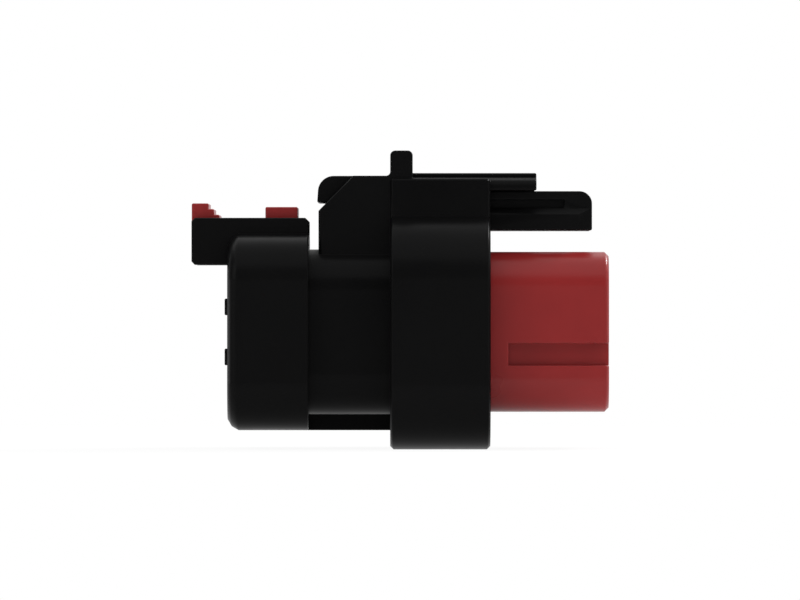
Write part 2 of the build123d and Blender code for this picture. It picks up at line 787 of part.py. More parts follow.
def socket_contact():
    """Socket formed from strip: slit tube, stop plate, wire crimp and insulation grip."""
    stop_rear = STOP_FRONT - STOP_LENGTH
    body = rod(STOP_FRONT, CONTACT_FRONT, CONTACT_R)
    body += across(stop_rear, STOP_FRONT, STOP_WIDE / 2, -STOP_HIGH / 2, STOP_HIGH / 2)
    body -= rod(CONTACT_FRONT - SOCKET_DEPTH, CONTACT_FRONT + OVERCUT, PIN_R)
    body -= across(
        CONTACT_FRONT - SOCKET_DEPTH, CONTACT_FRONT + OVERCUT, SLIT / 2, -HOOD_R, HOOD_R
    )
    wire_front = stop_rear - CRIMP_LINK
    grip_front = wire_front - WIRE_CRIMP_LENGTH - CRIMP_LINK
    floor = across(
        grip_front - SMALL_EDGE, stop_rear, CRIMP_WIDE / 2, -CRIMP_WIDE / 2, CRIMP_METAL - CRIMP_WIDE / 2
    )
    body += floor + crimp(wire_front, WIRE_CRIMP_LENGTH, WIRE_CRIMP_HIGH)
    return body + crimp(grip_front, GRIP_CRIMP_LENGTH, GRIP_CRIMP_HIGH)


def contact_hood():
    """Thin sleeve over the socket's sprung end, whose rear edge the lance catches."""
    sleeve = rod(HOOD_REAR, HOOD_FRONT, HOOD_R)
    return sleeve - rod(HOOD_REAR - OVERCUT, HOOD_FRONT + OVERCUT, HOOD_R - HOOD_WALL)


def main():
    os.makedirs("parts", exist_ok=True)
    nodes = {
        "plug_housing": plug_housing(),
        "front_lock": front_lock(),
        "interface_seal": interface_seal(),
        "wire_seal": wire_seal(),
        "rear_cover": rear_cover(),
        "position_slide": position_slide(),
    }
    sockets = at_contacts(socket_contact())
    hoods = at_contacts(contact_hood())
    for i, (socket, hood) in enumerate(zip(sockets, hoods), start=1):
        nodes[f"socket_contact_{i}"] = socket
        nodes[f"contact_hood_{i}"] = hood
    for name, shape in nodes.items():
        export_step(shape, f"parts/{name}.step")


if __name__ == "__main__":
    main()
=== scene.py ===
import json
import math

import bmesh
import bpy
import numpy as np
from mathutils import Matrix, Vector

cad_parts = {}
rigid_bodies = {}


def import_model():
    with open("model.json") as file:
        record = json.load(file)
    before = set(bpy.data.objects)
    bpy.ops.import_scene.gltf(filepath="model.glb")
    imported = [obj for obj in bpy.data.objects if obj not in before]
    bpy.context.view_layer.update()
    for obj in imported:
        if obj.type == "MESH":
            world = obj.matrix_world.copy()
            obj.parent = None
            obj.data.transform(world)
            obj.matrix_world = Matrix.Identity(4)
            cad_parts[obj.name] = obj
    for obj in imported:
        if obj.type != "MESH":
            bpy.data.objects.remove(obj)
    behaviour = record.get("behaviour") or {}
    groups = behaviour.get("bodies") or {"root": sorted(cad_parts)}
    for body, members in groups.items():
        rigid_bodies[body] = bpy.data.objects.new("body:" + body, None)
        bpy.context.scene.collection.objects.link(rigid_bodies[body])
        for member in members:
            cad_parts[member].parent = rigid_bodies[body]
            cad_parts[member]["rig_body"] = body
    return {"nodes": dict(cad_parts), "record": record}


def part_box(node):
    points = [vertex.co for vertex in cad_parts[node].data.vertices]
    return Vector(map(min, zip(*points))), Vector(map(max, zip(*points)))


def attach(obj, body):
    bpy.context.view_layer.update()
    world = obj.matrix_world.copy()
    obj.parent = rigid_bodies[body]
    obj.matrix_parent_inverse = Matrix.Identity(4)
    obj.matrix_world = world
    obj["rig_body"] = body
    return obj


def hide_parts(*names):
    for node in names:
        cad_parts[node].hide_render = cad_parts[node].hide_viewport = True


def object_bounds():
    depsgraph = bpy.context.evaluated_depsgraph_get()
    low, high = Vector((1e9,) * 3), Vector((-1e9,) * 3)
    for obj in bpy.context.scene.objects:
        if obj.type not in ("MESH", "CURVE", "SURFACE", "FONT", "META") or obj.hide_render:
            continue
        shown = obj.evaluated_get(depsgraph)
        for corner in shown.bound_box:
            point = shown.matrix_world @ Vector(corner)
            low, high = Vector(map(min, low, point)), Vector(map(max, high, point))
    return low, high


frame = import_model()
CAD_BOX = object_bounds()

bl_info = {
    "name": "Sealed Plug Dressing",
    "version": (1, 0, 0),
    "blender": (4, 5, 0),
    "location": "3D View > Sidebar > Plug",
    "description": "Softens the moulded edges, makes the seals and contacts and sets the stage",
    "category": "Object",
}

MM = 0.001

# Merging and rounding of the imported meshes
WELD_GAP = 0.0005 * MM
FLAT_ANGLE = math.radians(0.4)
LEAST_CHAMFER = math.radians(20)
GREATEST_BEND = math.radians(15)
ROOM_SHARE = 0.45
COLLAR_SLACK = 0.1 * MM

# Features of the surface grain, and the middle range that a noise mostly keeps to
NOISE_RANGE = (0.3, 0.7)
CLOUD_SIZE = 9 * MM
PORE_SIZE = 0.55 * MM
GRAIN_SIZE = 0.16 * MM
DUST_SIZE = 1.6 * MM
RUBBER_GRAIN_SIZE = 0.1 * MM
PLATING_SIZE = 0.8 * MM
ROLLING_SIZE = 0.05 * MM

# Section of a wire lip: share of its length behind the seal, and radius
LIP_SECTION = (
    (0.0, 1.40 * MM),
    (0.4, 1.36 * MM),
    (1.0, 1.20 * MM),
    (1.0, 1.06 * MM),
    (0.6, 0.96 * MM),
    (0.0, 1.02 * MM),
)
LIP_ROUNDING = 0.12 * MM

# Stage: the lamps' places are measured from the middle of the plug, and the wall behind it mirrors
# white where a direction's Y is past the first of two values, and wholly past the second
NEAR_EDGES = 9 * MM
FLOOR_GAP = 0.01 * MM
FLOOR_STEPS = 9
PAPER_COLOUR = (0.85, 0.85, 0.85, 1)
BEHIND_RANGE = (0.15, 0.55)
SENSOR_WIDTH = 36.0
CLIP_RANGE = (0.01, 20.0)
TOP_PLACE, TOP_SIZE = (0.0, -0.05, 0.68), (1.6, 1.6)
LEFT_PLACE, RIGHT_PLACE, SIDE_SIZE = (-0.75, -0.42, 0.30), (0.75, -0.42, 0.30), (0.5, 0.5)
EDGE_PLACE, EDGE_SIZE = (0.50, 0.40, 0.46), (0.2, 0.2)


class PLUG_PG_edges(bpy.types.PropertyGroup):
    """Rounding that the mould leaves on the edges of each piece."""

    outer: bpy.props.FloatProperty(
        name="Outer edges",
        description="Width of the rounding on a square outer edge",
        default=0.18 * MM,
        min=0.05 * MM,
        max=0.4 * MM,
        unit="LENGTH",
        precision=5,
    )
    collar: bpy.props.FloatProperty(
        name="Collar edges",
        description="Width of the broader rounding on the collar and the tower over it",
        default=0.5 * MM,
        min=0.1 * MM,
        max=0.7 * MM,
        unit="LENGTH",
        precision=5,
    )
    collar_rear: bpy.props.FloatProperty(
        name="Collar rear",
        description="Place of the collar's rear face along the plug",
        default=-26.2 * MM,
        unit="LENGTH",
        precision=5,
    )
    collar_front: bpy.props.FloatProperty(
        name="Collar front",
        description="Place of the collar's front face along the plug",
        default=-14.2 * MM,
        unit="LENGTH",
        precision=5,
    )
    collar_corner: bpy.props.FloatProperty(
        name="Collar corner",
        description="Corner radius of the collar's outline",
        default=8.0 * MM,
        unit="LENGTH",
        precision=5,
    )
    loop_top: bpy.props.FloatProperty(
        name="Loop top",
        description="Height of the latch loop's top, below which the loop keeps its crisp chamfers",
        default=17.0 * MM,
        unit="LENGTH",
        precision=5,
    )
    inner: bpy.props.FloatProperty(
        name="Inner corners",
        description="Width of the rounding in an inner corner",
        default=0.05 * MM,
        min=0.02 * MM,
        max=0.3 * MM,
        unit="LENGTH",
        precision=5,
    )
    metal: bpy.props.FloatProperty(
        name="Strip edges",
        description="Width of the rounding on the contacts' stamped edges",
        default=0.05 * MM,
        min=0.01 * MM,
        max=0.08 * MM,
        unit="LENGTH",
        precision=5,
    )
    sharp_angle: bpy.props.FloatProperty(
        name="Sharp angle",
        description="Edges that turn by more than this are rounded, and the others are shaded smooth",
        default=math.radians(50),
        min=math.radians(20),
        max=math.radians(80),
        subtype="ANGLE",
    )


class PLUG_PG_finish(bpy.types.PropertyGroup):
    """Colours of the mouldings, the seals and the metal."""

    black: bpy.props.FloatVectorProperty(
        name="Black moulding",
        description="Colour of the housing and the rear cover",
        subtype="COLOR",
        size=3,
        default=(0.0040, 0.0040, 0.0041),
        min=0,
        max=1,
    )
    black_shine: bpy.props.FloatProperty(
        name="Black shine",
        description="How much the black mouldings mirror",
        default=0.042,
        min=0.0,
        max=1.0,
        subtype="FACTOR",
    )
    red: bpy.props.FloatVectorProperty(
        name="Red moulding",
        description="Colour of the front lock and the position slide",
        subtype="COLOR",
        size=3,
        default=(0.243, 0.0175, 0.0175),
        min=0,
        max=1,
    )
    red_shine: bpy.props.FloatProperty(
        name="Red shine",
        description="How much the red mouldings mirror",
        default=0.2,
        min=0.0,
        max=1.0,
        subtype="FACTOR",
    )
    moulded_roughness: bpy.props.FloatProperty(
        name="Moulded roughness",
        description="Roughness of all the mouldings",
        default=0.3,
        min=0.1,
        max=1.0,
        subtype="FACTOR",
    )
    silicone: bpy.props.FloatVectorProperty(
        name="Seal rubber",
        description="Colour of the interface seal and the wire seal",
        subtype="COLOR",
        size=3,
        default=(0.52, 0.12, 0.03),
        min=0,
        max=1,
    )
    tin: bpy.props.FloatVectorProperty(
        name="Contact plating",
        description="Colour of the tin plated contacts",
        subtype="COLOR",
        size=3,
        default=(0.72, 0.70, 0.66),
        min=0,
        max=1,
    )
    steel: bpy.props.FloatVectorProperty(
        name="Hood steel",
        description="Colour of the contacts' spring hoods",
        subtype="COLOR",
        size=3,
        default=(0.56, 0.56, 0.57),
        min=0,
        max=1,
    )


class PLUG_PG_seals(bpy.types.PropertyGroup):
    """Sections of the rubber seals."""

    crest: bpy.props.FloatProperty(
        name="Ring height",
        description="Height of the interface seal's crests above the core",
        default=2.0 * MM,
        min=1.4 * MM,
        max=2.0 * MM,
        unit="LENGTH",
        precision=5,
    )
    groove: bpy.props.FloatProperty(
        name="Groove depth",
        description="Depth of the hollows between the interface seal's crests",
        default=0.75 * MM,
        min=0.2 * MM,
        max=1.0 * MM,
        unit="LENGTH",
        precision=5,
    )
    lobes: bpy.props.IntProperty(
        name="Crests",
        description="Number of crests along the interface seal",
        default=2,
        min=1,
        max=4,
    )
    corner: bpy.props.FloatProperty(
        name="Core corner",
        description="Corner radius of the core that the interface seal sits on",
        default=2.85 * MM,
        min=1.0 * MM,
        max=6.0 * MM,
        unit="LENGTH",
        precision=5,
    )
    seal_edge: bpy.props.FloatProperty(
        name="Wire seal edges",
        description="Width of the rounding on the wire seal's edges",
        default=0.12 * MM,
        min=0.02 * MM,
        max=0.3 * MM,
        unit="LENGTH",
        precision=5,
    )
    lip: bpy.props.FloatProperty(
        name="Wire lip",
        description="How far the wire seal's lips stand into the cover's wire holes",
        default=0.5 * MM,
        min=0.1 * MM,
        max=1.2 * MM,
        unit="LENGTH",
        precision=5,
    )


class PLUG_PG_hood(bpy.types.PropertyGroup):
    """Section of the contacts' hoods."""

    wall: bpy.props.FloatProperty(
        name="Hood wall",
        description="Thickness of a hood's sheet",
        default=0.3 * MM,
        min=0.1 * MM,
        max=0.4 * MM,
        unit="LENGTH",
        precision=5,
    )
    bead_place: bpy.props.FloatProperty(
        name="Bead place",
        description="Place of the bead along the hood, from its rear end",
        default=0.3,
        min=0.1,
        max=0.8,
        subtype="FACTOR",
    )
    bead_depth: bpy.props.FloatProperty(
        name="Bead depth",
        description="Depth of the bead that locks a hood",
        default=0.1 * MM,
        min=0.02 * MM,
        max=0.2 * MM,
        unit="LENGTH",
        precision=5,
    )
    bead_width: bpy.props.FloatProperty(
        name="Bead width",
        description="Half of the bead's width",
        default=0.3 * MM,
        min=0.1 * MM,
        max=0.6 * MM,
        unit="LENGTH",
        precision=5,
    )


class PLUG_PG_stage(bpy.types.PropertyGroup):
    """Camera and lamps."""

    view_width: bpy.props.FloatProperty(
        name="View width",
        description="Width of the view at the depth of the near edges",
        default=96.0 * MM,
        min=60 * MM,
        max=200 * MM,
        unit="LENGTH",
        precision=4,
    )
    distance: bpy.props.FloatProperty(
        name="Camera distance",
        description="From the near edges to the camera",
        default=1.3,
        min=0.3,
        max=3.0,
        unit="LENGTH",
    )
    top_power: bpy.props.FloatProperty(
        name="Top lamp",
        description="Power of the wide soft lamp overhead",
        default=10.0,
        min=0.0,
        max=30.0,
    )
    side_power: bpy.props.FloatProperty(
        name="Side lamps",
        description="Power of each of the two soft lamps at the sides",
        default=1.5,
        min=0.0,
        max=20.0,
    )
    edge_power: bpy.props.FloatProperty(
        name="Edge lamp",
        description="Power of the small lamp behind that draws the edges",
        default=5.0,
        min=0.0,
        max=20.0,
    )
    floor_reach: bpy.props.FloatProperty(
        name="Floor reach",
        description="From the plug to the floor's edges",
        default=4.0,
        min=0.5,
        max=10.0,
        unit="LENGTH",
    )
    shadow_reach: bpy.props.FloatProperty(
        name="Shadow reach",
        description="Distance at which the shadow on the floor has faded out",
        default=0.25,
        min=0.05,
        max=1.0,
        unit="LENGTH",
    )
    shadow: bpy.props.FloatProperty(
        name="Shadow depth",
        description="How dark the plug's shadow can make the white floor",
        default=0.07,
        min=0.0,
        max=0.5,
        subtype="FACTOR",
    )
    room: bpy.props.FloatProperty(
        name="Room light",
        description="Strength of the even light from the room",
        default=0.15,
        min=0.0,
        max=1.0,
    )


class PLUG_PG_dressing(bpy.types.PropertyGroup):
    """All settings of the plug's dressing."""

    edges: bpy.props.PointerProperty(type=PLUG_PG_edges, name="Edges", description="Edge roundings")
    finish: bpy.props.PointerProperty(type=PLUG_PG_finish, name="Finish", description="Colours")
    seals: bpy.props.PointerProperty(type=PLUG_PG_seals, name="Seals", description="Seal sections")
    hood: bpy.props.PointerProperty(type=PLUG_PG_hood, name="Hoods", description="Hood sections")
    stage: bpy.props.PointerProperty(type=PLUG_PG_stage, name="Stage", description="Camera and lamps")


def settings():
    """The groups of settings, kept on the scene."""
    return bpy.context.scene.plug_dressing


class Graph:
    """A node tree, with short calls to add and join nodes."""

    def __init__(self, tree):
        self.nodes = tree.nodes
        self.links = tree.links

    def add(self, kind, **values):
        """A new node, with its sockets or its options set by name."""
        node = self.nodes.new(kind)
        for key, value in values.items():
            if key in node.inputs:
                node.inputs[key].default_value = value
            else:
                setattr(node, key, value)
        return node

    def join(self, source, output, target, socket):
        """A link from one node's output to another's input."""
        self.links.new(source.outputs[output], target.inputs[socket])

    def greatest(self, first, *others):
        """The greatest of some values, each given as a node and its output."""
        last, output = first
        for source, name in others:
            node = self.add("ShaderNodeMath", operation="MAXIMUM")
            self.join(last, output, node, 0)
            self.join(source, name, node, 1)
            last, output = node, "Value"
        return last

    def product(self, first, second):
        """The product of two values, each given as a node and its output."""
        node = self.add("ShaderNodeMath", operation="MULTIPLY")
        self.join(*first, node, 0)
        self.join(*second, node, 1)
        return node

    def remap(self, source, output, old, new, **options):
        """Maps a value from its old range onto a new one."""
        node = self.add("ShaderNodeMapRange", **options)
        for key, value in zip(("From Min", "From Max", "To Min", "To Max"), (*old, *new)):
            node.inputs[key].default_value = value
        self.join(source, output, node, "Value")
        return node


class Shader(Graph):
    """A new material's node tree, with noises, tones and relief on the piece's own coordinates."""

    def __init__(self, name):
        self.material = bpy.data.materials.new(name)
        self.material.use_nodes = True
        super().__init__(self.material.node_tree)
        self.surface = self.nodes["Principled BSDF"]

    def noise(self, size, detail=2.0, roughness=0.5):
        """Noise whose features are this large, in metres."""
        place = self.nodes.get("place") or self.add("ShaderNodeTexCoord", name="place")
        node = self.add("ShaderNodeTexNoise", Scale=1.0 / size, Detail=detail, Roughness=roughness)
        self.join(place, "Object", node, "Vector")
        return node

    def spread(self, source, output, low, high):
        """Maps a noise from its middle range onto low to high."""
        return self.remap(source, output, NOISE_RANGE, (low, high))

    def tones(self, source, output, dark, light):
        """Colours a noise from a dark tone to a light one."""
        ramp = self.add("ShaderNodeValToRGB")
        for element, position, colour in zip(ramp.color_ramp.elements, NOISE_RANGE, (dark, light)):
            element.position = position
            element.color = (*colour, 1)
        self.join(source, output, ramp, "Fac")
        return ramp

    def bump(self, sources, strength, depth):
        """Surface relief from one or more heights, each on top of the one before."""
        last = None
        for (source, output), share in sources:
            node = self.add("ShaderNodeBump", Strength=strength * share, Distance=depth)
            self.join(source, output, node, "Height")
            if last is not None:
                self.join(last, "Normal", node, "Normal")
            last = node
        self.join(last, "Normal", self.surface, "Normal")


def shade(colour, factor):
    """A colour made darker or lighter."""
    return tuple(min(1.0, c * factor) for c in colour)


def moulded_plastic(name, colour, roughness, shine, variety=0.06):
    """Moulded nylon: fine spark-eroded grain, faint flow clouds in the tone and the gloss."""
    s = Shader(name)
    clouds = s.noise(CLOUD_SIZE, detail=3.0)
    grain = s.noise(GRAIN_SIZE, roughness=0.6)
    pores = s.noise(PORE_SIZE, detail=1.0)
    tones = s.tones(clouds, "Fac", shade(colour, 1 - variety), shade(colour, 1 + variety))
    s.join(tones, "Color", s.surface, "Base Color")
    gloss = s.spread(clouds, "Fac", roughness - 0.03, roughness + 0.04)
    s.join(gloss, "Result", s.surface, "Roughness")
    s.bump([((pores, "Fac"), 0.35), ((grain, "Fac"), 1.0)], strength=0.10, depth=0.02 * MM)
    s.surface.inputs["Specular IOR Level"].default_value = shine
    return s.material


def silicone_rubber(name, colour):
    """Matt silicone with a soft sheen and a fine dusty bloom."""
    s = Shader(name)
    bloom = s.noise(DUST_SIZE, detail=3.0)
    grain = s.noise(RUBBER_GRAIN_SIZE)
    tones = s.tones(bloom, "Fac", shade(colour, 0.9), shade(colour, 1.08))
    s.join(tones, "Color", s.surface, "Base Color")
    gloss = s.spread(bloom, "Fac", 0.5, 0.62)
    s.join(gloss, "Result", s.surface, "Roughness")
    s.bump([((grain, "Fac"), 1.0)], strength=0.12, depth=0.015 * MM)
    s.surface.inputs["Sheen Weight"].default_value = 0.15
    s.surface.inputs["Sheen Roughness"].default_value = 0.4
    return s.material


def formed_metal(name, colour, roughness):
    """Strip metal with rolling marks along the plug and a faint bloom in the plating."""
    s = Shader(name)
    bloom = s.noise(PLATING_SIZE)
    place = s.nodes["place"]
    stretch = s.add("ShaderNodeMapping")
    stretch.inputs["Scale"].default_value = (0.06, 1.0, 1.0)
    s.join(place, "Object", stretch, "Vector")
    lines = s.add("ShaderNodeTexNoise", Scale=1 / ROLLING_SIZE, Detail=2.0)
    s.join(stretch, "Vector", lines, "Vector")
    tones = s.tones(bloom, "Fac", shade(colour, 0.92), shade(colour, 1.06))
    s.join(tones, "Color", s.surface, "Base Color")
    gloss = s.spread(lines, "Fac", roughness - 0.06, roughness + 0.08)
    s.join(gloss, "Result", s.surface, "Roughness")
    s.bump([((lines, "Fac"), 1.0)], strength=0.08, depth=0.005 * MM)
    s.surface.inputs["Metallic"].default_value = 1.0
    return s.material


def finish_for(slot):
    """The finish of one of the record's material slots, made once."""
    name = slot + "_finish"
    if name in bpy.data.materials:
        return bpy.data.materials[name]
    tone = settings().finish
    rough = tone.moulded_roughness
    makers = {
        "black_nylon": lambda: moulded_plastic(name, tone.black, rough, tone.black_shine),
        "red_nylon": lambda: moulded_plastic(name, tone.red, rough, tone.red_shine),
        "seal_silicone": lambda: silicone_rubber(name, tone.silicone),
        "contact_alloy": lambda: formed_metal(name, tone.tin, roughness=0.3),
        "hood_steel": lambda: formed_metal(name, tone.steel, roughness=0.24),
    }
    return makers[slot]()


def node_slot(node):
    """The material slot that the record gives a node."""
    return next(p["material_slot"] for p in frame["record"]["subparts"] if p["node"] == node)


def linked_object(data):
    """A new object in the scene for a mesh, a lamp or a camera, under the same name."""
    obj = bpy.data.objects.new(data.name, data)
    bpy.context.scene.collection.objects.link(obj)
    return obj


def place_piece(obj, body, slot):
    """Gives a piece its finish and its body."""
    obj.data.materials.clear()
    obj.data.materials.append(finish_for(slot))
    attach(obj, body)
    return obj


def merged_copy(node, name):
    """Copy of a node's mesh with its corners merged and its flat facets joined into whole faces."""
    mesh = frame["nodes"][node].data.copy()
    mesh.name = name
    work = bmesh.new()
    work.from_mesh(mesh)
    bmesh.ops.remove_doubles(work, verts=work.verts, dist=WELD_GAP)
    bmesh.ops.dissolve_limit(
        work, angle_limit=FLAT_ANGLE, verts=work.verts, edges=work.edges, delimit=set()
    )
    work.to_mesh(mesh)
    work.free()
    mesh.shade_smooth()
    return mesh


def read_array(items, key, kind, width=1):
    """One attribute of a mesh's vertices, edges, loops or faces as an array."""
    values = np.empty(len(items) * width, kind)
    items.foreach_get(key, values)
    return values.reshape(-1, width) if width > 1 else values


def edge_turns(mesh, ends, along):
    """Angle between each edge's two faces, and whether the edge is hollow.

    The angle is the arc cosine of the dot product of the faces' normals. The cross product of the
    normals points along the edge, in the way that the first face goes round, where the edge stands
    out, and against it where the edge is hollow.
    """
    owner = np.repeat(np.arange(len(mesh.polygons)), read_array(mesh.polygons, "loop_total", np.int32))
    order = np.argsort(read_array(mesh.loops, "edge_index", np.int32), kind="stable").reshape(-1, 2)
    normals = read_array(mesh.polygons, "normal", np.float32, 3)
    first, second = normals[owner[order[:, 0]]], normals[owner[order[:, 1]]]
    starts = read_array(mesh.loops, "vertex_index", np.int32)[order[:, 0]]
    way = np.where(starts == ends[:, 0], 1.0, -1.0)
    cosine = np.clip(np.einsum("ij,ij->i", first, second), -1, 1)
    lean = np.einsum("ij,ij->i", np.cross(first, second), along) * way
    return np.arccos(cosine), lean < 0


def even_out(width, ends, sharp, rim):
    """Gives every run of sharp edges, from one corner to the next, the least width found on it."""
    while True:
        least = np.full(len(rim), np.inf)
        for side in (0, 1):
            np.minimum.at(least, ends[sharp, side], width[sharp])
        least[~rim] = np.inf
        evened = np.where(sharp, np.minimum(width, least[ends].min(axis=1)), width)
        if np.array_equal(evened, width):
            return width
        width = evened


def outside_collar(points):
    """Whether points lie on the collar's outline or outside it.

    The outline is all that lies one corner radius from a rectangle, whose half sizes are the
    collar's less that radius.
    """
    radius = settings().edges.collar_corner
    half = np.array([CAD_BOX[1].y, -CAD_BOX[0].z]) - radius
    beyond = np.maximum(np.abs(points[:, 1:]) - half, 0)
    return np.linalg.norm(beyond, axis=1) > radius - COLLAR_SLACK


def keep_loop_crisp(mesh):
    """Marks the chamfer edges of the latch loop, ahead of the collar, as sharp in the shading."""
    edges = settings().edges
    ends = read_array(mesh.edges, "vertices", np.int32, 2)
    points = read_array(mesh.vertices, "co", np.float32, 3)
    middle = points[ends].mean(axis=1)
    turn = edge_turns(mesh, ends, points[ends[:, 1]] - points[ends[:, 0]])[0]
    on_loop = (middle[:, 0] > edges.collar_front) & (middle[:, 2] < edges.loop_top) & (middle[:, 2] > 0)
    crisp = on_loop & (turn > LEAST_CHAMFER) & (turn < edges.sharp_angle)
    mark = mesh.attributes.new("sharp_edge", "BOOLEAN", "EDGE")
    mark.data.foreach_set("value", crisp)


def rounding_widths(mesh, outer, inner, broad=0.0):
    """Width of the rounding on every edge of a mesh.

    A sharp edge wants the outer width, the inner one in a hollow, or the broad one where it stands
    out on the collar or the tower. It gets no more than ROOM_SHARE of the shortest edge that the
    rounding has to run along at either end: every edge at a corner, and only the smooth ones where
    a rim runs on. Along a rim the width is even.
    """
    ends = read_array(mesh.edges, "vertices", np.int32, 2)
    points = read_array(mesh.vertices, "co", np.float32, 3)
    along = points[ends[:, 1]] - points[ends[:, 0]]
    length = np.linalg.norm(along, axis=1)
    along /= length[:, None]
    turn, hollow = edge_turns(mesh, ends, along)
    edges = settings().edges
    sharp = turn > edges.sharp_angle
    count = np.bincount(ends[sharp].ravel(), minlength=len(points))
    spread = np.zeros_like(points)
    np.add.at(spread, ends[sharp, 0], along[sharp])
    np.add.at(spread, ends[sharp, 1], -along[sharp])
    rim = (count == 2) & (np.linalg.norm(spread, axis=1) < 2 * math.sin(GREATEST_BEND))
    room = np.full(len(points), np.inf, np.float32)
    for side in (0, 1):
        counts = ~(sharp & rim[ends[:, side]])
        np.minimum.at(room, ends[counts, side], length[counts])
    wanted = np.where(hollow, inner, outer)
    if broad:
        middle = points[ends].mean(axis=1)
        x = middle[:, 0]
        on_collar = (x > edges.collar_rear - inner) & (x < edges.collar_front + inner)
        wanted = np.where(on_collar & outside_collar(middle) & ~hollow, broad, wanted)
    width = np.minimum(wanted, ROOM_SHARE * room[ends].min(axis=1))
    return even_out(np.where(sharp, width, 0.0), ends, sharp, rim)


def soft_copy(node, name, outer, inner, broad=0.0, segments=3):
    """Merged copy of a node whose sharp edges a bevel rounds, each as far as its neighbours allow."""
    mesh = merged_copy(node, name)
    widths = rounding_widths(mesh, outer, inner, broad)
    if broad:
        keep_loop_crisp(mesh)
    weight = mesh.attributes.new("bevel_weight_edge", "FLOAT", "EDGE")
    weight.data.foreach_set("value", (widths / widths.max()).astype(np.float32))
    obj = linked_object(mesh)
    bevel = obj.modifiers.new("rounding", "BEVEL")
    bevel.width = float(widths.max())
    bevel.segments = segments
    bevel.limit_method = "WEIGHT"
    bevel.use_clamp_overlap = False
    bevel.miter_outer = "MITER_ARC"
    flats = obj.modifiers.new("flat_faces", "WEIGHTED_NORMAL")
    flats.mode = "FACE_AREA"
    flats.weight = 100
    flats.keep_sharp = True
    place_piece(obj, frame["nodes"][node]["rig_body"], node_slot(node))
    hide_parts(node)
    return obj


def enclosed_volume(points, quads):
    """Volume inside closed quads, negative inside out: a sixth of their triangles' triple products."""
    a, b, c, d = (points[quads[:, k]] for k in range(4))
    return (np.einsum("ij,ij->", a, np.cross(b, c)) + np.einsum("ij,ij->", a, np.cross(c, d))) / 6


def grid_surface(name, points, closed_u=True, closed_v=True):
    """Mesh through a grid of points: quads between neighbours, wrapping where a way is closed."""
    nu, nv = points.shape[:2]
    u = np.arange(nu if closed_u else nu - 1)
    v = np.arange(nv if closed_v else nv - 1)
    i, j = np.meshgrid(u, v, indexing="ij")
    i2, j2 = (i + 1) % nu, (j + 1) % nv
    quads = np.stack([i * nv + j, i2 * nv + j, i2 * nv + j2, i * nv + j2], axis=-1).reshape(-1, 4)
    flat = points.reshape(-1, 3)
    if closed_u and closed_v and enclosed_volume(flat, quads) < 0:
        quads = quads[:, ::-1]
    mesh = bpy.data.meshes.new(name)
    mesh.from_pydata(flat.tolist(), [], quads.tolist())
    mesh.shade_smooth()
    mesh.update()
    return mesh


def rounded_rectangle(half_y, half_z, corner, arc_steps=12, side_steps=6):
    """Points and outward normals round a rectangle: four quarter circles, joined by straights."""
    arcs = np.linspace(0, math.pi / 2, arc_steps + 1)
    points, normals = [], []
    for quarter, (sy, sz) in enumerate([(1, 1), (-1, 1), (-1, -1), (1, -1)]):
        angle = arcs + quarter * math.pi / 2
        normal = np.stack([np.cos(angle), np.sin(angle)], axis=-1)
        centre = np.array([sy * (half_y - corner), sz * (half_z - corner)])
        points.append(centre + corner * normal)
        normals.append(normal)
    rows, ups = [], []
    for quarter in range(4):
        start, end = points[quarter][-1], points[(quarter + 1) % 4][0]
        share = np.linspace(0, 1, side_steps + 1)[1:-1, None]
        rows += [points[quarter], start + (end - start) * share]
        ups += [normals[quarter], np.repeat(normals[quarter][-1:], side_steps - 1, axis=0)]
    return np.concatenate(rows), np.concatenate(ups)


def contact_axes():
    """Centre of each contact across and up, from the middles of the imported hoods."""
    centres = []
    for name in sorted(frame["nodes"]):
        if name.startswith("contact_hood"):
            low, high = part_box(name)
            centres.append(((low.y + high.y) / 2, (low.z + high.z) / 2))
    return centres


def turned(profile, centre, steps=48):
    """Surface of revolution about a line along X: a profile point (x, r) goes round at radius r."""
    angle = np.linspace(0, 2 * math.pi, steps, endpoint=False)
    x = np.repeat(profile[None, :, 0], steps, axis=0)
    y = centre[0] + profile[None, :, 1] * np.cos(angle)[:, None]
    z = centre[1] + profile[None, :, 1] * np.sin(angle)[:, None]
    return np.stack([x, y, z], axis=-1)


def corner_side(points, neighbours, radius):
    """The point this far from each corner towards its neighbour, or at ROOM_SHARE of a short side."""
    side = neighbours - points
    length = np.linalg.norm(side, axis=1)
    return points + side * (np.minimum(radius, ROOM_SHARE * length) / length)[:, None]


def rounded_loop(points, radius, steps=5):
    """Closed profile with small curves for corners: a quadratic arc between points on its two sides."""
    points = np.asarray(points, float)
    start, end = (corner_side(points, np.roll(points, way, axis=0), radius) for way in (1, -1))
    t = np.linspace(0, 1, steps)[None, :, None]
    curve = (1 - t) ** 2 * start[:, None] + 2 * t * (1 - t) * points[:, None] + t**2 * end[:, None]
    return curve.reshape(-1, 2)


class PLUG_OT_mouldings(bpy.types.Operator):
    """Rounds the edges of the housing, the front lock, the rear cover and the position slide."""

    bl_idname = "plug.mouldings"
    bl_label = "Mouldings"

    def execute(self, context):
        edges = settings().edges
        soft_copy("plug_housing", "moulded_plug_housing", edges.outer, edges.inner, edges.collar)
        for node in ("front_lock", "rear_cover", "position_slide"):
            soft_copy(node, "moulded_" + node, edges.outer, edges.inner)
        return {"FINISHED"}


